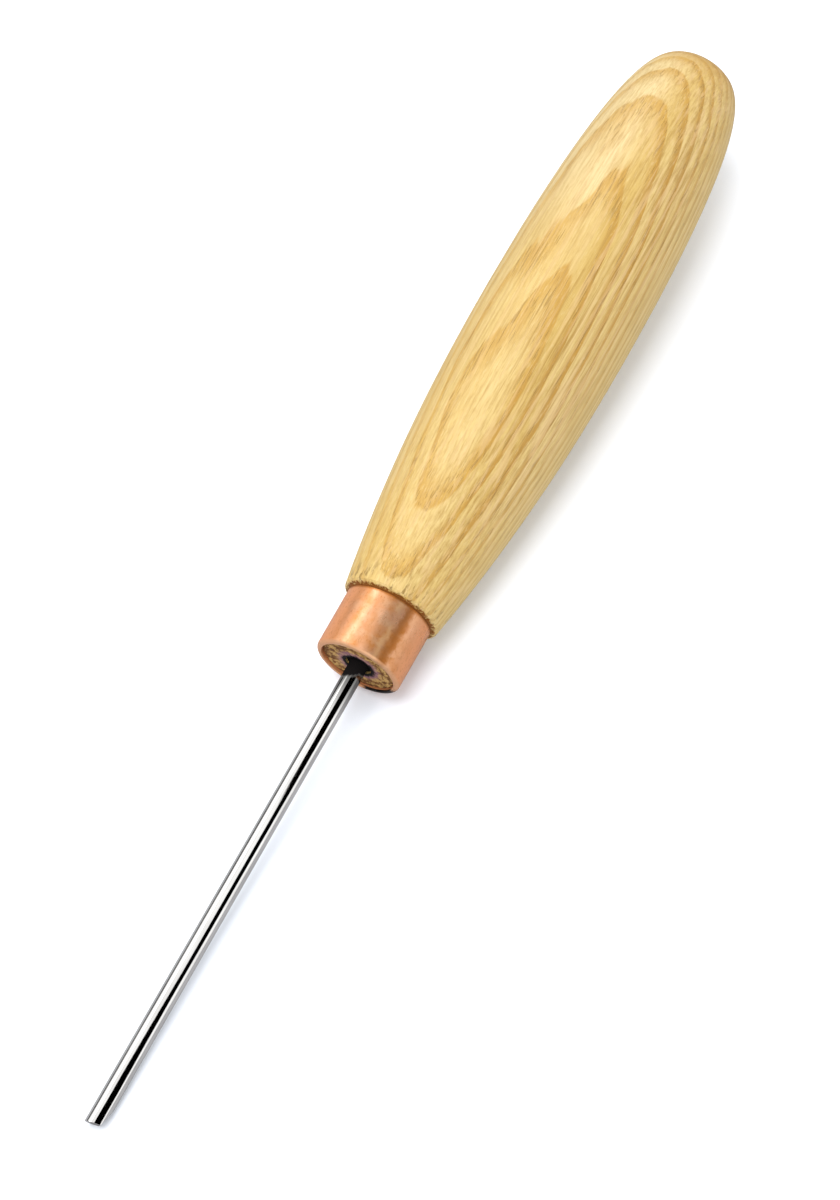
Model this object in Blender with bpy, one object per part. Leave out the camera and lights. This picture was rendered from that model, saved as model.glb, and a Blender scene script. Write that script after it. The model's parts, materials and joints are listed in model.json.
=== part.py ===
"""A slim palm tool: a straight round steel blade in a turned ash handle with a copper ferrule.

Run it in Blender 4.5. Lengths are in metres. The tool lies on z = 0 on the handle's belly and the
blade's end, with the blade towards +X, and the middle of its footprint is at the origin.

Each piece is modelled along the tool's own axis: x is 0 at the ferrule's mouth and grows towards
the blade's end, and the butt of the handle is at negative x.
"""

import math

import bmesh
import bpy
import numpy as np
from mathutils import Matrix, Vector

GAP = 0.0003                         # left between pieces that touch or are pressed together

BLADE_REACH = 0.0872                 # from the ferrule's mouth to the blade's longest corner
BLADE_RADIUS = 0.0016
TANG_DEPTH = 0.0520                  # how far the bar runs on behind the ferrule's mouth
TANG_TAPER = 0.0120                  # its drawn-down end
TANG_END_RADIUS = 0.0006
END_SKEW = math.radians(15)          # how far the ground end face leans from square
END_ROLL = math.radians(-52)         # where its short side is, turned from +Y about the axis
BEVEL_LENGTH = 0.0036                # a flat bevel that cuts one side of the end
BEVEL_SLOPE = math.radians(14)
BEVEL_ROLL = math.radians(-20)       # where the bevel looks, turned from +Y about the axis

FERRULE_LENGTH = 0.0111
FERRULE_RADIUS = 0.0075
FERRULE_WALL = 0.0010
FERRULE_ROUND = 0.0007               # the mouth's rounded outer edge

HANDLE_LENGTH = 0.1134               # the wood behind the ferrule, to the tip of the butt
HANDLE_START_RADIUS = 0.0084         # at the ferrule, before its edge is broken
HANDLE_EDGE_ROUND = 0.0009
BELLY_RADIUS = 0.0131
BELLY_STATION = 0.0605               # how far behind the ferrule the handle is thickest
SWELL_POWER = 2.2                    # how quickly the handle fills out in front of its belly
BUTT_POWERS = 2.1, 4.2               # the superellipse that rounds the butt
TENON_RECESS = 0.0005                # the tenon's end lies this far inside the ferrule's mouth
BORE_RADIUS = 0.0026
BORE_CLEARANCE = 0.0020              # beyond the end of the tang
RESIN_RECESS = 0.0006                # the resin lies this far below the tenon's end

HANDLE_SEGMENTS = 48
BAR_SEGMENTS = 32
SWELL_POINTS = 18
BUTT_POINTS = 15
ROUND_POINTS = 3


def clear_scene():
    for item in list(bpy.data.objects):
        bpy.data.objects.remove(item)


def make_material(name, colour, roughness, metallic=0.0):
    material = bpy.data.materials.new(name)
    material.use_nodes = True
    shader = material.node_tree.nodes["Principled BSDF"]
    shader.inputs["Base Color"].default_value = (*colour, 1.0)
    shader.inputs["Roughness"].default_value = roughness
    shader.inputs["Metallic"].default_value = metallic
    return material


def finish_object(name, bm, material, parent):
    """Puts a bmesh into a smooth-shaded object on the tool's axis."""
    bmesh.ops.recalc_face_normals(bm, faces=bm.faces)
    mesh = bpy.data.meshes.new(name)
    bm.to_mesh(mesh)
    bm.free()
    mesh.shade_smooth()
    mesh.set_sharp_from_angle(angle=math.radians(35))
    mesh.materials.append(material)
    piece = bpy.data.objects.new(name, mesh)
    piece.parent = parent
    bpy.context.collection.objects.link(piece)
    return piece


def turn(outline, segments, closed=False):
    """Spins an outline of (x, radius) points about the X axis. A flat of the result faces down."""
    bm = bmesh.new()
    points = [bm.verts.new((x, 0.0, radius)) for x, radius in outline]
    ring = points + points[:1] if closed else points
    edges = [bm.edges.new(pair) for pair in zip(ring, ring[1:])]
    half_flat = Matrix.Rotation(math.pi / segments, 3, "X")
    bmesh.ops.rotate(bm, verts=points, cent=(0, 0, 0), matrix=half_flat)
    bmesh.ops.spin(bm, geom=points + edges, axis=(1, 0, 0), cent=(0, 0, 0),
                   angle=math.tau, steps=segments, use_merge=True)
    bmesh.ops.remove_doubles(bm, verts=bm.verts, dist=0.000001)
    return bm


def quarter(centre, radius, start):
    """A quarter circle of outline points, turning clockwise from the angle start."""
    x, r = centre
    steps = [start - math.pi / 2 * i / ROUND_POINTS for i in range(ROUND_POINTS + 1)]
    return [(x + radius * math.cos(a), r + radius * math.sin(a)) for a in steps]


def handle_radius(station):
    """The wood's radius at a distance behind the ferrule."""
    if station <= BELLY_STATION:
        ahead = 1 - station / BELLY_STATION
        return BELLY_RADIUS - (BELLY_RADIUS - HANDLE_START_RADIUS) * ahead**SWELL_POWER
    behind = (station - BELLY_STATION) / (HANDLE_LENGTH - BELLY_STATION)
    fall, fullness = BUTT_POWERS
    return BELLY_RADIUS * max(0.0, 1 - behind**fall) ** (1 / fullness)


def handle_stations():
    """Distances behind the ferrule: even along the swell, and closing up towards the butt's tip."""
    first = HANDLE_EDGE_ROUND
    swell = [first + (BELLY_STATION - first) * i / SWELL_POINTS for i in range(SWELL_POINTS + 1)]
    turns = [math.pi / 2 * i / BUTT_POINTS for i in range(1, BUTT_POINTS + 1)]
    butt = [BELLY_STATION + (HANDLE_LENGTH - BELLY_STATION) * math.sin(a) ** 0.75 for a in turns]
    return swell + butt


def make_handle(parent):
    """The turned handle: butt, belly, tenon for the ferrule and a blind bore for the tang."""
    shoulder = -FERRULE_LENGTH - GAP
    tenon_radius = FERRULE_RADIUS - FERRULE_WALL - GAP
    bore_end = -TANG_DEPTH - BORE_CLEARANCE
    outer = [(shoulder - s, handle_radius(s)) for s in reversed(handle_stations())]
    edge_centre = shoulder - HANDLE_EDGE_ROUND, handle_radius(HANDLE_EDGE_ROUND) - HANDLE_EDGE_ROUND
    edge = quarter(edge_centre, HANDLE_EDGE_ROUND, math.pi / 2)[1:]
    tenon = [(shoulder, tenon_radius), (-TENON_RECESS, tenon_radius)]
    bore = [(-TENON_RECESS, BORE_RADIUS), (bore_end, BORE_RADIUS), (bore_end - BORE_RADIUS, 0.0)]
    bm = turn(outer + edge + tenon + bore, HANDLE_SEGMENTS)
    ash = make_material("ash", (0.80, 0.62, 0.33), 0.42)
    return finish_object("handle", bm, ash, parent)


def make_ferrule(parent):
    """A ring cut from copper tube, with its outer edge rounded over at the mouth."""
    inner = FERRULE_RADIUS - FERRULE_WALL
    mouth = quarter((-FERRULE_ROUND, FERRULE_RADIUS - FERRULE_ROUND), FERRULE_ROUND, math.pi / 2)
    outline = [(-FERRULE_LENGTH, inner), (-FERRULE_LENGTH, FERRULE_RADIUS), *mouth, (0.0, inner)]
    bm = turn(outline, HANDLE_SEGMENTS, closed=True)
    copper = make_material("copper", (0.86, 0.47, 0.28), 0.30, 1.0)
    return finish_object("ferrule", bm, copper, parent)


def grind(bm, point, normal):
    """Cuts away what lies beyond a plane and closes the cut with one flat face."""
    cut = bmesh.ops.bisect_plane(bm, geom=bm.verts[:] + bm.edges[:] + bm.faces[:], dist=0.000001,
                                 plane_co=point, plane_no=normal, clear_outer=True)
    rim = [item for item in cut["geom_cut"] if isinstance(item, bmesh.types.BMEdge)]
    bmesh.ops.contextual_create(bm, geom=rim)


def make_blade(parent):
    """One steel bar: the tang, the straight round shank and its obliquely ground end."""
    start = -TANG_DEPTH
    outline = [
        (start, 0.0),
        (start, TANG_END_RADIUS),
        (start + TANG_TAPER, BLADE_RADIUS),
        (BLADE_REACH, BLADE_RADIUS),
        (BLADE_REACH, 0.0),
    ]
    bm = turn(outline, BAR_SEGMENTS)
    short_side = Vector((0.0, math.cos(END_ROLL), math.sin(END_ROLL)))
    end_normal = Vector((math.cos(END_SKEW), 0, 0)) + short_side * math.sin(END_SKEW)
    grind(bm, Vector((BLADE_REACH, 0, 0)) - short_side * BLADE_RADIUS, end_normal)
    bevel_side = Vector((0.0, math.cos(BEVEL_ROLL), math.sin(BEVEL_ROLL)))
    bevel_normal = Vector((math.sin(BEVEL_SLOPE), 0, 0)) + bevel_side * math.cos(BEVEL_SLOPE)
    bevel_start = Vector((BLADE_REACH - BEVEL_LENGTH, 0, 0)) + bevel_side * BLADE_RADIUS
    grind(bm, bevel_start, bevel_normal)
    steel = make_material("polished_steel", (0.80, 0.80, 0.79), 0.12, 1.0)
    return finish_object("blade", bm, steel, parent)


def make_tang_resin(parent):
    """The sleeve of dark resin that beds the tang in its bore."""
    outer = BORE_RADIUS - GAP
    inner = BLADE_RADIUS + GAP
    mouth = -TENON_RECESS - RESIN_RECESS
    outline = [(-TANG_DEPTH, inner), (-TANG_DEPTH, outer), (mouth, outer), (mouth, inner)]
    bm = turn(outline, BAR_SEGMENTS, closed=True)
    resin = make_material("dark_resin", (0.02, 0.018, 0.016), 0.45)
    return finish_object("tang_resin", bm, resin, parent)


def corners(pieces):
    """Every vertex of the pieces, on the tool's own axis."""
    return np.array([vertex.co[:] for piece in pieces for vertex in piece.data.vertices])


def lie_angle(handle, blade):
    """How far the blade's end tips down when the handle's belly rests on the same plane."""
    belly, bar = corners([handle]), corners([blade])

    def lowest(points, angle):
        return (points[:, 2] * math.cos(angle) - points[:, 0] * math.sin(angle)).min()

    low, high = 0.0, math.radians(20)
    for _ in range(50):
        middle = (low + high) / 2
        if lowest(bar, middle) > lowest(belly, middle):
            low = middle
        else:
            high = middle
    return low


def set_down(tool, pieces, angle):
    """Tips the tool onto z = 0 and centres its footprint on the origin."""
    turned = corners(pieces) @ np.array(Matrix.Rotation(angle, 3, "Y")).T
    lowest, highest = turned.min(axis=0), turned.max(axis=0)
    middle = (lowest + highest) / 2
    tool.rotation_euler = (0, angle, 0)
    tool.location = (-middle[0], -middle[1], -lowest[2])


def main():
    clear_scene()
    tool = bpy.data.objects.new("tool", None)
    bpy.context.collection.objects.link(tool)
    handle = make_handle(tool)
    blade = make_blade(tool)
    pieces = [handle, blade, make_ferrule(tool), make_tang_resin(tool)]
    set_down(tool, pieces, lie_angle(handle, blade))


main()
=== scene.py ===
import json
import math

import bmesh
import bpy
import numpy as np
from mathutils import Matrix, Vector, noise


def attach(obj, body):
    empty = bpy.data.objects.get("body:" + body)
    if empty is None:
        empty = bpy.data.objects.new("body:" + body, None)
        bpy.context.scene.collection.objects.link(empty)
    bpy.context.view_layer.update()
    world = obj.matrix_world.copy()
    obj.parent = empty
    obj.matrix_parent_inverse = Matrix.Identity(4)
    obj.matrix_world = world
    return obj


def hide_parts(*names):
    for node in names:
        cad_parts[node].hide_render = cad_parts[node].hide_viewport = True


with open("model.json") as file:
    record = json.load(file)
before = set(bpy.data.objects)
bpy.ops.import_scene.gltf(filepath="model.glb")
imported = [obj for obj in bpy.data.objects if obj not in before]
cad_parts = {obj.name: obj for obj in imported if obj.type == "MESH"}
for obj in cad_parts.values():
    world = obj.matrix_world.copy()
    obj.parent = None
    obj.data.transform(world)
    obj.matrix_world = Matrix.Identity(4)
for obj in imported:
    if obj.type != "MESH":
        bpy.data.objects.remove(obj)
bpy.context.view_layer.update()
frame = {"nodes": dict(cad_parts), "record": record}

# A palm tool: ash handle, copper ferrule, straight round steel blade. Lengths are in metres.
# Every piece is made along the tool's own axis: x is 0 at the ferrule's mouth and grows towards
# the blade's end, and z points away from the floor. TOOL places that axis in the frame.

MM = 0.001
TINY = 1e-7                             # lengths below this are none
FRAME_GAP = 0.3 * MM                    # the frame leaves this between pieces that touch
SAME_RING = 0.02 * MM                   # its vertices this close along the axis are one ring

# ---------------------------------------------------------------- shapes

HANDLE_INSCRIBED = math.cos(math.pi / 48)   # inside the flats of the frame's handle and ferrule
BAR_INSCRIBED = math.cos(math.pi / 32)      # inside the flats of its blade
SMOOTH_SEGMENTS = 192
BLADE_SEGMENTS = 96
BLADE_STATIONS = 140
SHARP_ANGLE = math.radians(40)          # edges that turn by more are shaded sharp
BLADE_SHARP_ANGLE = math.radians(25)

BUTT_TRIM = 0.00025                     # the handle is this share shorter, to stay inside the frame's
BORE_BOTTOM = 8 * MM                    # the frame's bore ends within this, behind the tang
BORE_PAST_TANG = 1 * MM
BORE_PLAY = 0.05 * MM                   # between the bore and the resin
TENON_PLAY = 0.18 * MM                  # between the tenon and the ferrule
TENON_ROUND = 0.15 * MM
SHOULDER_PLAY = 0.06 * MM               # between the wood's shoulder and the ferrule
SHOULDER_FALL = 0.25 * MM               # how far the broken edge falls on its last stretch to it
WAVE_HEIGHT = 0.03 * MM                 # the hand-finished waviness of the wood
WAVE_LENGTH = 9 * MM
WAVE_SEED = 2.0
WAVE_START = 0.5 * MM                   # nearer to the axis than this nothing moves

# The ferrule's edges: inner and outer at the back, outer and inner at the mouth.
FERRULE_ROUNDS = 0.05 * MM, 0.10 * MM, 0.72 * MM, 0.12 * MM

END_SKEW = math.radians(15)             # how far the blade's ground end leans from square
END_ROLL = math.radians(-52)            # where its short side is, turned from +Y about the axis
BEVEL_LENGTH = 3.6 * MM                 # a flat bevel that cuts one side of the end
BEVEL_SLOPE = math.radians(14)
BEVEL_ROLL = math.radians(-20)          # where the bevel looks, turned from +Y about the axis
GROUND_LENGTH = 8 * MM                  # the grinding and its edges are within this
GROUND_ANGLE = 0.15                     # radians: edges that turn by more come from the grinding
GROUND_ROUND = 0.10 * MM

RESIN_PLAY = 0.01 * MM                  # between the resin and the blade
RESIN_SINK = 0.20 * MM                  # the resin's lowest line lies this far below the frame's resin,
RESIN_RISE = 0.35 * MM                  # and it wets the wood and the blade this much higher
RESIN_STEPS = 10

# ---------------------------------------------------------------- the wood's figure, in millimetres

RING_WIDTH = 1.27
RING_START = 8.98                       # the height of one ring's start, straight above the axis
HEART_CURVE = 0.01657                   # the rings bend about a heart some 30 mm below the tool
HEART_ASIDE = -0.1116                   # and a little towards +y
BOW_X = -65.0                           # from this place
DIP = 0.033                             # they dip towards the ferrule,
BOW = 0.00046                           # bow down to both ends
TWIST = 0.00119                         # and twist a little
BULGE = 1.3                             # they rise in one long patch, as beside a shoot
BULGE_AT = -81.2, -4.4
BULGE_SIZE = 25.5, 4.0
BULGE_TOP = 0.0, 6.0                    # it fades in over these heights
THIN_HEIGHT = 11.54                     # above this the rings are thinner,
THIN_GAIN = 0.36                        # by this many more for each millimetre
SWING = 0.70                            # the slow wandering of the rings, from side to side
RIPPLE = 0.34                           # and the quick one
EARLY_START = 0.09                      # the share of a ring in which its early wood sets in
EARLY_FADE = 0.14, 0.68                 # and the shares over which it turns into late wood

STEEP_SIDE = -4.0, 9.0                  # across the tool: the rings come to stand steep to the skin,
STEEP_GOLD = -1.0, 8.0                  # and their early wood grows darker
CREAM_ALONG = -72.0, -98.0              # the butt's creamy patch
CREAM_ACROSS = 3.0, -4.0
SIDE_LIGHT_HEIGHTS = 9.0, -1.0                    # heights over which the wood is painted paler downwards: painted light on the handle's sides
BUTT_REACH = 0.4, 7.0                   # the butt is darker over this much from its tip
JOINT_REACH = -0.46, -0.28              # the brown line at the ferrule, from the ferrule's end
SPECK_REACH = -6.0, -0.5                # the torn specks beside it
SKIN_RADIUS = 7.2, 7.8                  # the turned skin's marks lie outside this
TENON_RADIUS = 6.4, 6.7                 # inside this is the tenon
LEDGE_RADIUS = 6.5, 6.9                 # outside this is the shoulder
MAUVE_RADIUS = 2.9, 4.4                 # resin on the tenon's end: thin to here
STAIN_AND_SHADE_RADIUS = 2.7, 3.3                 # and black to here: thick resin, and painted shade of the bore's mouth
END_DEPTH = -0.12, -0.02                # from the tenon's end
STAIN_RAGGED = 1.6
JOINT_RAGGED = 0.9

LATE_WOOD = (0.54, 0.395, 0.150), (0.49, 0.335, 0.100)
EARLY_WOOD = (0.46, 0.265, 0.040), (0.40, 0.210, 0.026)
STEEP_WOOD = 0.33, 0.165, 0.020         # early wood where the rings stand steep to the skin
STREAK = 0.32, 0.185, 0.040
ROSE = 0.56, 0.385, 0.185
# painted light: the paler colour of the handle's lower sides
PAINTED_SIDE_LIGHT = 0.66, 0.475, 0.165
CREAM = 0.60, 0.475, 0.245
PORE = 0.20, 0.115, 0.022
END_GRAIN = (0.11, 0.042, 0.012), (0.42, 0.25, 0.085)
JOINT = 0.17, 0.052, 0.008
SPECK = 0.17, 0.095, 0.015
MAUVE = 0.24, 0.12, 0.15
# black: the resin's stain on the tenon's end, with painted shade there and on the ferrule's rim
RESIN_STAIN_AND_SHADE = 0.006, 0.005, 0.006

# ---------------------------------------------------------------- the metals' and the resin's looks

# A strip along the tube is its angle from straight up towards +y, and the angles beside that
# between which it fades, all in radians.
# painted reflection: a dark strip along the tube where it mirrors a dark band, partly a burnt stain
DARK_REFLECTION_STRIP = 0.66, 0.034, 0.187
# painted highlight: a thin glint along the tube
GLINT_STRIP = 0.43, 0.01, 0.11
SOFT_STRIP = 0.25, 0.5, 1.1             # the copper is brighter beyond this one, towards the tube's flanks: a painted reflection
STRIP_RAGGED = 0.30
COPPER_JOINT = 0.1, 0.6                 # millimetres from the ferrule's back end
COPPER_RIM = -0.65, -0.15               # and from its mouth
SHADE_CRESCENT_DEPTH = -0.45, -0.25           # a black crescent on the mouth's rim, low at its +y side: painted shade in the gap under the rim
SHADE_CRESCENT_START = 1.85, 2.1
SHADE_CRESCENT_END = 2.95, 3.1

COPPER = (0.70, 0.36, 0.20), (0.62, 0.245, 0.070)
COPPER_SIDE_REFLECTION = 0.88, 0.375, 0.165
COPPER_GLINT = 0.95, 0.60, 0.30
COPPER_BURNT_AND_DARK_REFLECTION = 0.40, 0.125, 0.014
COPPER_PALE = 0.72, 0.42, 0.24

DARK_ROOT_END = 2.3, 3.1                    # black on the blade's root, in millimetres from the mouth: painted reflection of the dark mouth
DARK_ROOT_RAGGED = 1.6
DARK_ROOT_SLANT = 1.1                       # it is shorter towards +y
PAINTED_DARK_REACH = 2.0, 11.0                  # the steel is painted darker near the mouth, a painted reflection of the dark mouth and the ferrule
STEEL = (0.91, 0.90, 0.88), (0.80, 0.79, 0.775)
STEEL_PAINTED_DARK = 0.19, 0.187, 0.18
# painted reflection: the black on the blade's root
PAINTED_DARK_ROOT = 0.008, 0.007, 0.007
RESIN = (0.006, 0.005, 0.005), (0.016, 0.013, 0.011)

# ---------------------------------------------------------------- the studio and the camera

CAMERA_AZIMUTH = math.radians(27.67)    # from +X towards +Y
CAMERA_ELEVATION = math.radians(60.24)
CAMERA_DISTANCE = 0.85
CAMERA_LENS = 158.9                     # millimetres
CAMERA_ASIDE = 0.01013                  # it aims this far to the right of the ferrule's mouth
CAMERA_ABOVE = 0.01093                  # and this far above it
CAMERA_NEAR = 0.05

FLOOR_REACH = 3.0
FLOOR_WHITE = 0.85, 0.887, 0.95         # a little blue, against the warm light off the wood
FLOOR_GREY = 0.26, 0.26, 0.27
MIRRORED_LIFT = 0.01 * MM
TENT = 1.05                             # the radiance of the white tent around the tool

# The black card: how far along the tool, and the angles from the card's middle, in degrees, where
# its left and its right edge lie there. The steel's dark bands are its mirror image.
CARD_TURN = 35
CARD_LEAN = 20
CARD_DISTANCE = 0.2
CARD_EDGES = (
    (-0.15, -29, 27),
    (0.018, -29, 27),
    (0.026, -16, 27),
    (0.066, -16, 27),
    (0.075, -28, 31),
    (0.080, -32, 42),
    (0.20, -34, 46),
)
LOW_CARD_TURN = -83
LOW_CARD_DISTANCE = 0.6
LOW_CARD_HALF = 0.9, 0.09


# ---------------------------------------------------------------- the tool's axis, from the frame

def node_points(name):
    return np.array([vertex.co[:] for vertex in frame["nodes"][name].data.vertices])


def tool_axes():
    """The matrix from the tool's own axis to the frame, from the mouth face that the record states."""
    mount = next(m for m in frame["record"]["mounts"] if m["name"] == "ferrule_mouth")
    along = Vector(mount["axis"]).normalized()
    across = Vector((0.0, 1.0, 0.0))
    up = along.cross(across).normalized()
    ferrule = node_points("ferrule")
    reach = ferrule @ np.array(along)
    rim = ferrule[reach > reach.max() - SAME_RING]
    turn = Matrix((along, across, up)).transposed().to_4x4()
    return Matrix.Translation(Vector(rim.mean(axis=0))) @ turn


TOOL = tool_axes()


def in_tool_axes(name):
    """A frame node's vertices as rows of x, y, z on the tool's own axis."""
    inverse = np.array(TOOL.inverted())
    return node_points(name) @ inverse[:3, :3].T + inverse[:3, 3]


def turned_size(name):
    """Lowest and highest x of a turned node, and its smallest and largest radius."""
    points = in_tool_axes(name)
    radius = np.hypot(points[:, 1], points[:, 2])
    return points[:, 0].min(), points[:, 0].max(), radius.min(), radius.max()


BUTT_X, TENON_X, _, _ = turned_size("handle")
FERRULE_X, MOUTH_X, FERRULE_BORE, FERRULE_RADIUS = turned_size("ferrule")
TANG_X, TIP_X, _, BLADE_RADIUS = turned_size("blade")
_, RESIN_TOP_X, _, RESIN_RADIUS = turned_size("tang_resin")


def skin_outline(rounds=3):
    """The frame handle's skin as a smooth line of (x, radius), from the butt's tip to the ferrule."""
    points = in_tool_axes("handle")
    radius = np.hypot(points[:, 1], points[:, 2])
    in_bore = (radius < FERRULE_BORE / 2) & (points[:, 0] > TANG_X - BORE_BOTTOM)
    skin = (points[:, 0] < FERRULE_X - FRAME_GAP / 2) & ~in_bore
    rings = {}
    for x, r in zip(points[skin, 0], radius[skin]):
        station = round(x / SAME_RING)
        rings[station] = max(rings.get(station, (x, r)), (x, r), key=lambda point: point[1])
    line = np.array(sorted(rings.values()))
    mirrored = line[1:4][::-1] * (1, -1)    # past the tip, so that the curve crosses it squarely
    line = np.vstack((mirrored, line))
    for _ in range(rounds):                 # four-point subdivision: keeps the rings, bends between
        ahead = np.vstack((line[1:], 2 * line[-1] - line[-2]))
        middle = (9 * (line[:-1] + ahead[:-1]) - np.vstack((line[:1], line[:-2])) - ahead[1:]) / 16
        finer = np.empty((2 * len(line) - 1, 2))
        finer[::2], finer[1::2] = line, middle
        line = finer
    tip = int(np.argmin(line[:, 0]))
    return line[tip:]


# ---------------------------------------------------------------- mesh helpers

def place(name, mesh, material, slot, *nodes):
    """Makes the mesh an object in the frame that rides on it and stands for some of its nodes."""
    mesh.transform(TOOL)
    piece = bpy.data.objects.new(name, mesh)
    bpy.context.scene.collection.objects.link(piece)
    mesh.materials.append(material)
    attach(piece, "root")
    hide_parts(*nodes)
    return piece


def finish_mesh(mesh, sharp=SHARP_ANGLE):
    bm = bmesh.new()
    bm.from_mesh(mesh)
    bmesh.ops.recalc_face_normals(bm, faces=bm.faces)
    bm.to_mesh(mesh)
    bm.free()
    mesh.shade_smooth()
    mesh.set_sharp_from_angle(angle=sharp)
    return mesh


def lathe(name, outline, segments, closed=False):
    """A mesh turned from (x, radius) points about X. Points with radius 0 become poles."""
    vertices, rings, faces = [], [], []
    for x, radius in outline:
        if radius < TINY:
            rings.append([len(vertices)] * segments)
            vertices.append((x, 0.0, 0.0))
            continue
        rings.append(list(range(len(vertices), len(vertices) + segments)))
        for i in range(segments):
            angle = math.tau * i / segments
            vertices.append((x, radius * math.sin(angle), radius * math.cos(angle)))
    following = rings[1:] + rings[:1] if closed else rings[1:]
    for here, there in zip(rings, following):
        for i in range(segments):
            j = (i + 1) % segments
            corners = list(dict.fromkeys((here[i], here[j], there[j], there[i])))
            if len(corners) > 2:
                faces.append(corners)
    mesh = bpy.data.meshes.new(name)
    mesh.from_pydata(vertices, [], faces)
    return finish_mesh(mesh)


def rounded(corner, before, after, radius, steps):
    """Outline points that round a right-angled corner lying between its two neighbours."""
    corner, before, after = Vector(corner), Vector(before), Vector(after)
    back, ahead = (before - corner).normalized(), (after - corner).normalized()
    centre = corner + (back + ahead) * radius
    angles = [math.pi / 2 * i / steps for i in range(steps + 1)]
    return [tuple(centre - ahead * radius * math.cos(a) - back * radius * math.sin(a)) for a in angles]


def wander(mesh, height, length, seed):
    """Sinks a turned surface by up to height, in smooth waves about as long as length."""
    for vertex in mesh.vertices:
        x, y, z = vertex.co
        radius = math.hypot(y, z)
        if radius < WAVE_START:
            continue
        spot = Vector((x / length + seed, y / length, z / length))
        shift = 1 - height * (0.5 + 0.5 * noise.noise(spot)) / radius
        vertex.co = (x, y * shift, z * shift)


def grind(bm, point, normal):
    """Cuts away what lies beyond a plane and closes the cut with one flat face."""
    cut = bmesh.ops.bisect_plane(bm, geom=bm.verts[:] + bm.edges[:] + bm.faces[:], dist=TINY,
                                 plane_co=point, plane_no=normal, clear_outer=True)
    rim = [item for item in cut["geom_cut"] if isinstance(item, bmesh.types.BMEdge)]
    bmesh.ops.contextual_create(bm, geom=rim)


# ---------------------------------------------------------------- node helpers

class Nodes:
    """Short ways to build a material's node tree."""

    MIX_FIRST, MIX_SECOND, MIX_RESULT = 6, 7, 2     # the mix node's colour sockets

    def __init__(self, name):
        self.material = bpy.data.materials.new(name)
        self.material.use_nodes = True
        self.tree = self.material.node_tree
        self.shader = self.tree.nodes["Principled BSDF"]
        self.on_axis = None

    def add(self, kind, **settings):
        node = self.tree.nodes.new(kind)
        for key, value in settings.items():
            setattr(node, key, value)
        return node

    def put(self, socket, value):
        """Links a node's output to the socket, or sets the socket's own value."""
        if isinstance(value, bpy.types.NodeSocket):
            self.tree.links.new(value, socket)
        elif socket.type == "RGBA":
            socket.default_value = (*value, 1.0)
        else:
            socket.default_value = value

    def set(self, name, value):
        self.put(self.shader.inputs[name], value)

    def place_mm(self):
        """The place on the tool's own axes, in millimetres."""
        if self.on_axis is None:
            mapping = self.add("ShaderNodeMapping", vector_type="TEXTURE")
            self.put(mapping.inputs["Vector"], self.add("ShaderNodeTexCoord").outputs["Object"])
            self.put(mapping.inputs["Location"], TOOL.translation)
            self.put(mapping.inputs["Rotation"], TOOL.to_euler())
            self.put(mapping.inputs["Scale"], (MM, MM, MM))
            self.on_axis = mapping.outputs["Vector"]
        return self.on_axis

    def axes(self):
        """The same place as its x, y and z."""
        split = self.add("ShaderNodeSeparateXYZ")
        self.put(split.inputs["Vector"], self.place_mm())
        return split.outputs

    def math(self, operation, *values):
        node = self.add("ShaderNodeMath", operation=operation)
        for socket, value in zip(node.inputs, values):
            self.put(socket, value)
        return node.outputs[0]

    def times(self, first, second):
        return self.math("MULTIPLY", first, second)

    def plus(self, first, second):
        return self.math("ADD", first, second)

    def minus(self, first, second):
        return self.math("SUBTRACT", first, second)

    def noise(self, along, across, detail=2.0, roughness=0.5, shift=(0, 0, 0)):
        """Noise from 0 to 1 with so many grains per millimetre along the tool and across it."""
        mapping = self.add("ShaderNodeMapping")
        self.put(mapping.inputs["Vector"], self.place_mm())
        self.put(mapping.inputs["Scale"], (along, across, across))
        self.put(mapping.inputs["Location"], shift)
        node = self.add("ShaderNodeTexNoise")
        self.put(node.inputs["Vector"], mapping.outputs["Vector"])
        self.put(node.inputs["Scale"], 1.0)
        self.put(node.inputs["Detail"], detail)
        self.put(node.inputs["Roughness"], roughness)
        return node.outputs[0]

    def ragged(self, value, noise_value, width):
        """The value moved to either side by a noise, by up to half the width."""
        return self.math("MULTIPLY_ADD", noise_value, width, self.minus(value, width / 2))

    def span(self, value, low, high, start=0.0, end=1.0, smooth=True):
        """Maps low..high to start..end, and holds it outside."""
        node = self.add("ShaderNodeMapRange", interpolation_type="SMOOTHSTEP" if smooth else "LINEAR")
        for socket, item in zip(node.inputs, (value, low, high, start, end)):
            self.put(socket, item)
        return node.outputs[0]

    def mix(self, share, first, second):
        node = self.add("ShaderNodeMix", data_type="RGBA")
        self.put(node.inputs["Factor"], share)
        self.put(node.inputs[self.MIX_FIRST], first)
        self.put(node.inputs[self.MIX_SECOND], second)
        return node.outputs[self.MIX_RESULT]

    def set_bump(self, height, distance, strength):
        node = self.add("ShaderNodeBump")
        self.put(node.inputs["Strength"], strength)
        self.put(node.inputs["Distance"], distance)
        self.put(node.inputs["Height"], height)
        self.set("Normal", node.outputs[0])


# ---------------------------------------------------------------- materials

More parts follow.
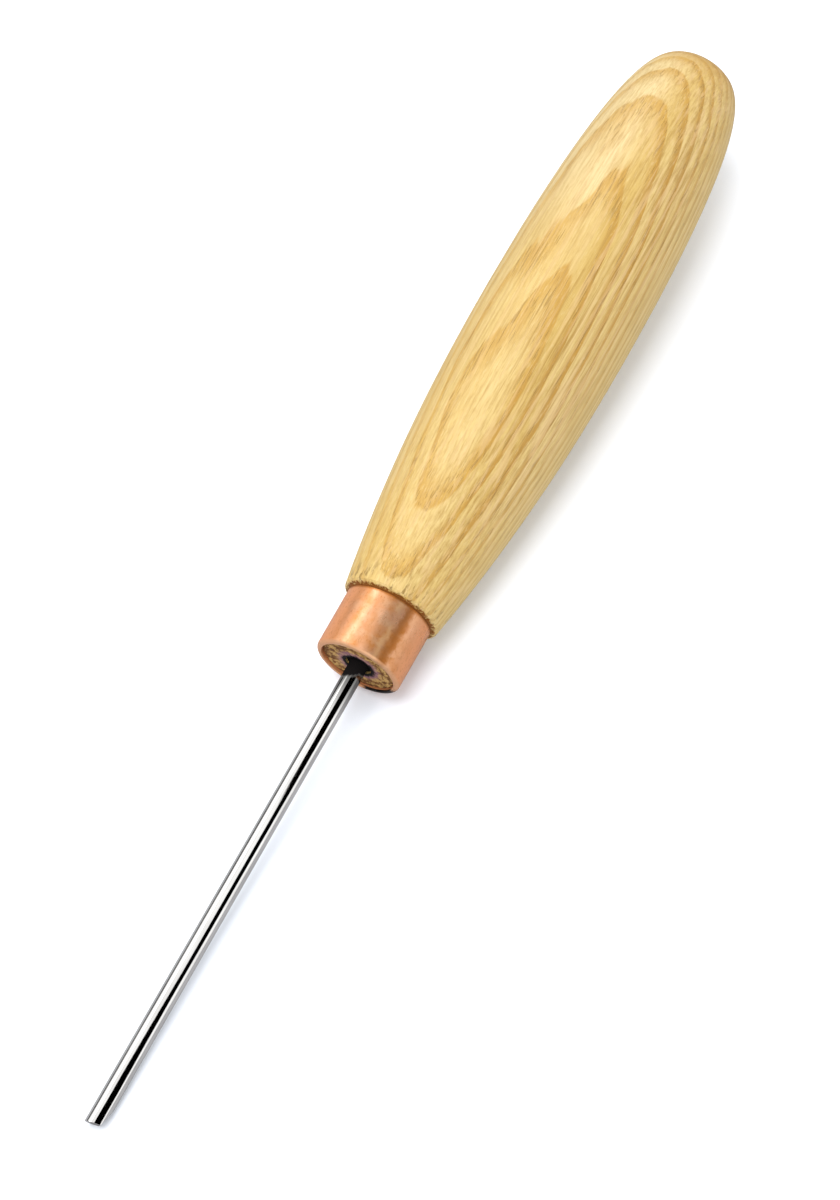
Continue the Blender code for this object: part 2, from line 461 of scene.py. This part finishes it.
def ring_count(n, x, y, z):
    """Growth rings as a number that grows outwards from the tree's heart, 1 for each year."""
    along = n.minus(x, BOW_X)
    bends = (
        (n.times(y, y), HEART_CURVE),
        (y, HEART_ASIDE),
        (along, DIP),
        (n.times(along, along), BOW),
        (n.times(along, y), TWIST),
    )
    height = z
    for run, gain in bends:
        height = n.math("MULTIPLY_ADD", run, gain, height)
    offsets = [n.math("DIVIDE", n.minus(value, middle), size)
               for value, middle, size in zip((x, y), BULGE_AT, BULGE_SIZE)]
    far = n.plus(*(n.times(offset, offset) for offset in offsets))
    bulge = n.times(n.math("EXPONENT", n.times(far, -1.0)), n.span(z, *BULGE_TOP))
    height = n.math("MULTIPLY_ADD", bulge, -BULGE, height)
    height = n.ragged(height, n.noise(0.040, 0.12, detail=1.0, shift=(3.1, 7.0, 1.3)), SWING)
    height = n.ragged(height, n.noise(0.09, 0.55, shift=(9.0, 2.0, 5.0)), RIPPLE)
    thin = n.math("MAXIMUM", n.minus(height, THIN_HEIGHT), 0.0)
    count = n.math("DIVIDE", n.minus(height, RING_START), RING_WIDTH)
    return n.math("MULTIPLY_ADD", thin, THIN_GAIN, count)


def skin_colour(n, x, y, early, fibre):
    """The turned skin: golden bands on pale wood, with flecks and streaks along the grain."""
    patch = n.noise(0.03, 0.20, detail=3.0, shift=(1.0, 4.0, 8.0))
    late = n.mix(n.span(patch, 0.35, 0.65), *LATE_WOOD)
    creamy = n.times(n.span(x, *CREAM_ALONG, end=0.75), n.span(y, *CREAM_ACROSS))
    late = n.mix(creamy, late, CREAM)
    strand = n.noise(0.022, 0.9, roughness=0.6, shift=(2.0, 9.0, 4.0))
    gold = n.mix(n.span(strand, 0.3, 0.7), *EARLY_WOOD)
    gold = n.mix(n.span(y, *STEEP_GOLD, end=0.6), gold, STEEP_WOOD)
    colour = n.mix(n.times(early, n.span(y, *STEEP_SIDE, 0.72, 1.0)), late, gold)
    fleck = n.noise(0.55, 3.4, roughness=0.6, shift=(1.0, 8.0, 2.0))
    colour = n.mix(n.span(fleck, 0.52, 0.70, end=0.30), colour, STREAK)
    colour = n.mix(n.span(fleck, 0.46, 0.30, end=0.30), colour, CREAM)
    steep = n.span(y, *STEEP_SIDE, 0.55, 0.95)
    colour = n.mix(n.times(n.span(fibre, 0.38, 0.72), steep), colour, STREAK)
    rose = n.noise(0.03, 1.5, shift=(4.0, 5.0, 9.0))
    return n.mix(n.times(n.span(rose, 0.48, 0.66, end=0.5), steep), colour, ROSE)


def end_grain_colour(n, across, blotch):
    """The tenon's sawn end, stained by the resin around the tang, and black round the bore: thick resin
    and painted shade of the bore's mouth.
    """
    ragged = n.ragged(across, blotch, STAIN_RAGGED)
    colour = n.mix(n.span(blotch, 0.42, 0.62), *END_GRAIN)
    colour = n.mix(n.span(ragged, *MAUVE_RADIUS, 0.85, 0.0), colour, MAUVE)
    # resin and painted shade: black round the bore's mouth
    return n.mix(n.span(ragged, *STAIN_AND_SHADE_RADIUS, 1.0, 0.0), colour, RESIN_STAIN_AND_SHADE)


def ash_material():
    """Oiled ash: pale late wood, golden early wood that starts sharply with a band of open pores."""
    n = Nodes("ash")
    x, y, z = n.axes()
    across = n.math("SQRT", n.plus(n.times(y, y), n.times(z, z)))
    grown = n.math("FRACT", ring_count(n, x, y, z))
    early = n.times(n.span(grown, 0.0, EARLY_START), n.span(grown, *EARLY_FADE, 1.0, 0.0))
    fibre = n.noise(0.045, 2.6, detail=4.0, roughness=0.7)
    pores = n.noise(0.20, 3.6, shift=(5.0, 1.0, 2.0))
    vessel = n.times(n.span(pores, 0.55, 0.68), n.span(early, 0.1, 0.7))
    blotch = n.noise(0.9, 1.3, detail=3.0, roughness=0.7, shift=(7.0, 3.0, 1.0))
    torn = n.noise(0.38, 1.3, detail=3.0, roughness=0.6, shift=(6.0, 1.0, 3.0))

    end_face = n.times(n.span(x, *(TENON_X / MM + depth for depth in END_DEPTH)),
                       n.span(across, *TENON_RADIUS, 1.0, 0.0))
    is_skin = n.span(across, *SKIN_RADIUS)
    painted_side_light = n.times(n.span(z, *SIDE_LIGHT_HEIGHTS, end=0.55, smooth=False), is_skin)
    butt = n.span(x, *(BUTT_X / MM + reach for reach in BUTT_REACH), 0.55, 0.0)
    specks = n.times(n.span(torn, 0.54, 0.66, end=0.75),
                     n.span(x, *(FERRULE_X / MM + reach for reach in SPECK_REACH)))
    joint = n.span(n.ragged(x, blotch, JOINT_RAGGED),
                   *(FERRULE_X / MM + reach for reach in JOINT_REACH), end=0.95)
    joint = n.times(joint, n.span(across, *LEDGE_RADIUS))

    colour = skin_colour(n, x, y, early, fibre)
    colour = n.mix(n.times(vessel, 0.42), colour, PORE)
    colour = n.mix(end_face, colour, end_grain_colour(n, across, blotch))
    # painted light: the lower sides paler, against their shade
    colour = n.mix(painted_side_light, colour, PAINTED_SIDE_LIGHT)
    colour = n.mix(butt, colour, EARLY_WOOD[1])
    colour = n.mix(n.times(specks, is_skin), colour, SPECK)
    colour = n.mix(joint, colour, JOINT)
    dry = n.math("MAXIMUM", end_face, joint)        # without oil, so without gloss
    n.set("Base Color", colour)
    n.set("Roughness", n.span(early, 0.0, 1.0, 0.40, 0.52))
    n.set("IOR", 1.48)
    n.set("Specular IOR Level", n.span(dry, 0.0, 1.0, 0.5, 0.05))
    n.set("Coat Weight", n.span(dry, 0.0, 1.0, 0.12, 0.0))
    n.set("Coat Roughness", 0.28)
    n.set_bump(n.plus(n.times(fibre, 0.35), n.times(vessel, -1.0)), 0.06 * MM, 0.7)
    return n.material


def beside(n, turn, strip, on, off):
    """A value that is on within a strip along the tube and off beyond it."""
    middle, near, far = strip
    return n.span(n.math("ABSOLUTE", n.minus(turn, middle)), near, far, on, off)


def copper_material():
    """Copper tube, skimmed and buffed: turning lines and soft stains; a dark strip along it, painted
    reflection and partly a burnt stain; a painted thin highlight; painted brighter sides; a crescent of
    painted shade at the mouth.
    """
    n = Nodes("copper")
    x, y, z = n.axes()
    stain = n.noise(0.16, 0.30, detail=3.0, roughness=0.6, shift=(2.0, 6.0, 1.0))
    smear = n.noise(0.55, 0.40, detail=4.0, roughness=0.6, shift=(8.0, 2.0, 7.0))
    grit = n.noise(1.6, 2.6, detail=3.0, roughness=0.7, shift=(3.0, 3.0, 3.0))
    lines = n.noise(9.0, 0.25, roughness=0.7)
    turn = n.ragged(n.math("ARCTAN2", y, z), smear, STRIP_RAGGED)
    joint = n.span(x, *(FERRULE_X / MM + reach for reach in COPPER_JOINT), 0.9, 0.0)
    painted_glint = n.times(beside(n, turn, GLINT_STRIP, 0.45, 0.0), n.span(stain, 0.35, 0.6))
    shade_crescent = n.times(n.span(x, *SHADE_CRESCENT_DEPTH), n.span(turn, *SHADE_CRESCENT_START))
    shade_crescent = n.times(shade_crescent, n.span(turn, *SHADE_CRESCENT_END, 1.0, 0.0))

    colour = n.mix(n.span(stain, 0.35, 0.68), *COPPER)
    colour = n.mix(n.span(smear, 0.42, 0.64, end=0.55), colour, COPPER_PALE)
    # painted reflection: the tube brighter towards its flanks
    colour = n.mix(beside(n, turn, SOFT_STRIP, 0.0, 1.0), colour, COPPER_SIDE_REFLECTION)
    # painted reflection: the dark strip along the tube
    colour = n.mix(beside(n, turn, DARK_REFLECTION_STRIP, 0.75, 0.0), colour, COPPER_BURNT_AND_DARK_REFLECTION)
    colour = n.mix(n.span(grit, 0.5, 0.72, end=0.4), colour, COPPER_BURNT_AND_DARK_REFLECTION)
    # painted highlight: the thin glint along the tube
    colour = n.mix(painted_glint, colour, COPPER_GLINT)
    colour = n.mix(joint, colour, COPPER_BURNT_AND_DARK_REFLECTION)
    colour = n.mix(n.span(x, *COPPER_RIM, end=0.55), colour, COPPER_PALE)
    # painted shade: the black crescent on the mouth's rim
    colour = n.mix(shade_crescent, colour, RESIN_STAIN_AND_SHADE)
    n.set("Base Color", colour)
    n.set("Roughness", n.span(stain, 0.3, 0.7, 0.26, 0.38))
    n.set("Metallic", 0.65)
    n.set_bump(n.plus(n.times(lines, 0.2), stain), 0.05 * MM, 0.35)
    return n.material


def steel_material():
    """Drawn steel bar, polished bright, with hair lines along it; its colour is painted darker near the
    mouth and black and dull at its root, a painted reflection of the dark mouth.
    """
    n = Nodes("polished_steel")
    x, y, _ = n.axes()
    hair = n.noise(0.05, 9.0, detail=3.0, roughness=0.7)
    haze = n.noise(0.12, 0.8, shift=(4.0, 2.0, 0.0))
    root_noise = n.noise(0.5, 1.6, detail=3.0, roughness=0.6, shift=(1.0, 1.0, 6.0))
    front = n.ragged(x, root_noise, DARK_ROOT_RAGGED)
    front = n.math("MULTIPLY_ADD", n.math("MAXIMUM", y, 0.0), DARK_ROOT_SLANT, front)
    painted_dark_root = n.span(front, *DARK_ROOT_END, 1.0, 0.0)
    unpainted = n.minus(1.0, painted_dark_root)
    colour = n.mix(n.span(haze, 0.35, 0.7), *STEEL)
    # painted reflection: the steel darker near the mouth
    colour = n.mix(n.span(x, *PAINTED_DARK_REACH, 1.0, 0.0), colour, STEEL_PAINTED_DARK)
    # painted reflection: the root black, dull and not metallic
    colour = n.mix(painted_dark_root, colour, PAINTED_DARK_ROOT)
    rough = n.span(hair, 0.3, 0.75, 0.045, 0.10)
    n.set("Base Color", colour)
    n.set("Roughness", n.math("MAXIMUM", rough, n.times(painted_dark_root, 0.5)))
    n.set("Metallic", unpainted)
    n.set("Specular IOR Level", n.times(unpainted, 0.5))
    n.set_bump(hair, 0.004 * MM, 0.3)
    return n.material


def resin_material():
    """Cured dark epoxy with small pits."""
    n = Nodes("dark_resin")
    pits = n.noise(2.4, 2.4, detail=3.0)
    n.set("Base Color", n.mix(n.span(pits, 0.4, 0.7), *RESIN))
    n.set("Roughness", n.span(pits, 0.3, 0.7, 0.5, 0.7))
    n.set("Specular IOR Level", 0.04)
    n.set_bump(pits, 0.1 * MM, 0.5)
    return n.material


# ---------------------------------------------------------------- pieces

def make_handle():
    """The turned handle, with its broken front edge, its tenon and the bore for the tang."""
    skin = [(FERRULE_X + (x - FERRULE_X) * (1 - BUTT_TRIM), max(r, 0.0) * HANDLE_INSCRIBED)
            for x, r in skin_outline()]
    skin[0] = (skin[0][0], 0.0)
    edge_radius = skin[-1][1]
    shoulder = FERRULE_X - SHOULDER_PLAY
    tenon = FERRULE_BORE - TENON_PLAY
    bore = RESIN_RADIUS + BORE_PLAY
    bore_end = TANG_X - BORE_PAST_TANG
    tenon_edge = rounded((TENON_X, tenon), (shoulder, tenon), (TENON_X, bore), TENON_ROUND, steps=3)
    front = [(shoulder, edge_radius - SHOULDER_FALL), (shoulder, tenon), *tenon_edge,
             (TENON_X, bore), (bore_end, bore), (bore_end, 0.0)]
    mesh = lathe("handle", skin + front, SMOOTH_SEGMENTS)
    wander(mesh, WAVE_HEIGHT, WAVE_LENGTH, WAVE_SEED)
    return place("ash_handle", mesh, ash_material(), "ash", "handle")


def make_ferrule():
    """A ring of tube whose four edges are rounded, the mouth's outer one the most."""
    outer = FERRULE_RADIUS * HANDLE_INSCRIBED
    corners = [(FERRULE_X, FERRULE_BORE), (FERRULE_X, outer), (MOUTH_X, outer), (MOUTH_X, FERRULE_BORE)]
    outline = []
    for i, (corner, radius) in enumerate(zip(corners, FERRULE_ROUNDS)):
        outline += rounded(corner, corners[i - 1], corners[(i + 1) % 4], radius, steps=8)
    mesh = lathe("ferrule", outline, SMOOTH_SEGMENTS, closed=True)
    return place("copper_ferrule", mesh, copper_material(), "copper", "ferrule")


def make_blade():
    """The round bar, its skew ground end and the end's one bevel, with their edges just eased."""
    radius = BLADE_RADIUS * BAR_INSCRIBED
    side = [(x, radius) for x in np.linspace(TANG_X, TIP_X, BLADE_STATIONS)]
    mesh = lathe("blade", [(TANG_X, 0), *side, (TIP_X, 0)], BLADE_SEGMENTS)
    bm = bmesh.new()
    bm.from_mesh(mesh)
    short_side = Vector((0.0, math.cos(END_ROLL), math.sin(END_ROLL)))
    end_normal = Vector((math.cos(END_SKEW), 0, 0)) + short_side * math.sin(END_SKEW)
    grind(bm, Vector((TIP_X, 0, 0)) - short_side * radius, end_normal)
    bevel_side = Vector((0.0, math.cos(BEVEL_ROLL), math.sin(BEVEL_ROLL)))
    bevel_normal = Vector((math.sin(BEVEL_SLOPE), 0, 0)) + bevel_side * math.cos(BEVEL_SLOPE)
    grind(bm, Vector((TIP_X - BEVEL_LENGTH, 0, 0)) + bevel_side * radius, bevel_normal)
    edges = [edge for edge in bm.edges
             if len(edge.link_faces) == 2 and edge.calc_face_angle() > GROUND_ANGLE
             and min(vertex.co.x for vertex in edge.verts) > TIP_X - GROUND_LENGTH]
    bmesh.ops.bevel(bm, geom=edges, offset=GROUND_ROUND, segments=3, affect="EDGES", clamp_overlap=True)
    bm.to_mesh(mesh)
    bm.free()
    finish_mesh(mesh, BLADE_SHARP_ANGLE)
    return place("steel_blade", mesh, steel_material(), "polished_steel", "blade")


def make_resin():
    """Resin around the tang: dished between the bore and the blade, with a lip where it wets each."""
    inner, outer = BLADE_RADIUS + RESIN_PLAY, RESIN_RADIUS
    bottom = RESIN_TOP_X - RESIN_SINK
    shares = [i / RESIN_STEPS for i in range(RESIN_STEPS + 1)]
    dish = [(bottom + RESIN_RISE * (2 * t - 1)**2, outer + (inner - outer) * t) for t in shares]
    mesh = lathe("tang_resin", [(TANG_X, inner), (TANG_X, outer), *dish], BLADE_SEGMENTS, closed=True)
    return place("resin_bed", mesh, resin_material(), "dark_resin", "tang_resin")


# ---------------------------------------------------------------- the studio

def flat_sheet(name, outline, colour, roughness):
    """A flat staging sheet from a 2D outline, facing its own +Z."""
    mesh = bpy.data.meshes.new(name)
    mesh.from_pydata([(x, y, 0) for x, y in outline], [], [list(range(len(outline)))])
    sheet = bpy.data.objects.new(name, mesh)
    bpy.context.scene.collection.objects.link(sheet)
    n = Nodes(name)
    n.set("Base Color", colour)
    n.set("Roughness", roughness)
    n.set("Specular IOR Level", 0.0)
    mesh.materials.append(n.material)
    return sheet


def rectangle(half_length, half_width):
    return [(-half_length, -half_width), (half_length, -half_width),
            (half_length, half_width), (-half_length, half_width)]


def make_floor():
    """A white table. The polished pieces see a greyer one, as they do under a tent of paper."""
    square = rectangle(FLOOR_REACH, FLOOR_REACH)
    floor = flat_sheet("floor", square, FLOOR_WHITE, 0.8)
    floor.visible_glossy = False
    mirrored = flat_sheet("mirrored_floor", square, FLOOR_GREY, 0.9)
    mirrored.location.z = MIRRORED_LIFT
    mirrored.visible_camera = False
    mirrored.visible_diffuse = False
    mirrored.visible_shadow = False


def facing(turn, lean, distance):
    """A matrix that puts a flat thing at a distance from the ferrule's mouth, facing it. The turn is
    about the tool's axis, from straight up towards +y, and the lean is towards the butt, in degrees."""
    turn, lean = math.radians(turn), math.radians(lean)
    outward = Vector((-math.sin(lean), math.cos(lean) * math.sin(turn), math.cos(lean) * math.cos(turn)))
    direction = (TOOL.to_3x3() @ outward).normalized()
    along = TOOL.to_3x3() @ Vector((1, 0, 0))
    side = direction.cross(along).normalized()
    upright = side.cross(direction)
    rotation = Matrix((upright, side, direction)).transposed().to_4x4()
    return Matrix.Translation(TOOL.translation + direction * distance) @ rotation


def softbox(name, turn, lean, distance, length, width, watts):
    light = bpy.data.lights.new(name, "AREA")
    light.shape = "RECTANGLE"
    light.size = length
    light.size_y = width
    light.energy = watts
    lamp = bpy.data.objects.new(name, light)
    lamp.matrix_world = facing(turn, lean, distance)
    bpy.context.scene.collection.objects.link(lamp)
    return lamp


def dark_card(name, turn, lean, distance, outline):
    """A black sheet that is seen only in the polished metal."""
    card = flat_sheet(name, outline, (0.0, 0.0, 0.0), 1.0)
    card.matrix_world = facing(turn, lean, distance)
    card.visible_camera = False
    card.visible_shadow = False
    card.visible_diffuse = False


def make_cards():
    """The cards whose mirror images are the steel's dark bands."""
    def across(angle):
        return CARD_DISTANCE * math.tan(math.radians(angle))

    left = [(along, across(low)) for along, low, _ in CARD_EDGES]
    right = [(along, across(high)) for along, _, high in CARD_EDGES]
    dark_card("black_card", CARD_TURN, CARD_LEAN, CARD_DISTANCE, left + right[::-1])
    dark_card("low_card", LOW_CARD_TURN, CARD_LEAN, LOW_CARD_DISTANCE, rectangle(*LOW_CARD_HALF))


def light_scene():
    world = bpy.data.worlds.new("studio")
    world.use_nodes = True
    background = world.node_tree.nodes["Background"]
    background.inputs["Color"].default_value = (1.0, 1.0, 1.0, 1.0)
    background.inputs["Strength"].default_value = TENT
    bpy.context.scene.world = world
    bpy.context.scene.view_settings.view_transform = "Standard"
    key = softbox("key", turn=-43, lean=14, distance=0.7, length=0.9, width=0.20, watts=1.15)
    key.visible_diffuse = False             # it is there for the metals' highlight
    overhead = softbox("overhead", turn=-11, lean=0, distance=0.8, length=0.8, width=0.55, watts=7.0)
    overhead.visible_glossy = False         # and this one for the shadow


def make_camera():
    back = Vector((math.cos(CAMERA_ELEVATION) * math.cos(CAMERA_AZIMUTH),
                   math.cos(CAMERA_ELEVATION) * math.sin(CAMERA_AZIMUTH),
                   math.sin(CAMERA_ELEVATION)))
    right = Vector((-math.sin(CAMERA_AZIMUTH), math.cos(CAMERA_AZIMUTH), 0))
    above = back.cross(right)
    aim = TOOL.translation + right * CAMERA_ASIDE + above * CAMERA_ABOVE
    data = bpy.data.cameras.new("camera")
    data.lens = CAMERA_LENS
    data.clip_start = CAMERA_NEAR
    camera = bpy.data.objects.new("camera", data)
    camera.matrix_world = (Matrix.Translation(aim + back * CAMERA_DISTANCE)
                           @ Matrix((right, above, back)).transposed().to_4x4())
    bpy.context.scene.collection.objects.link(camera)
    bpy.context.scene.camera = camera


make_handle()
make_ferrule()
make_blade()
make_resin()
make_floor()
light_scene()
make_cards()
make_camera()
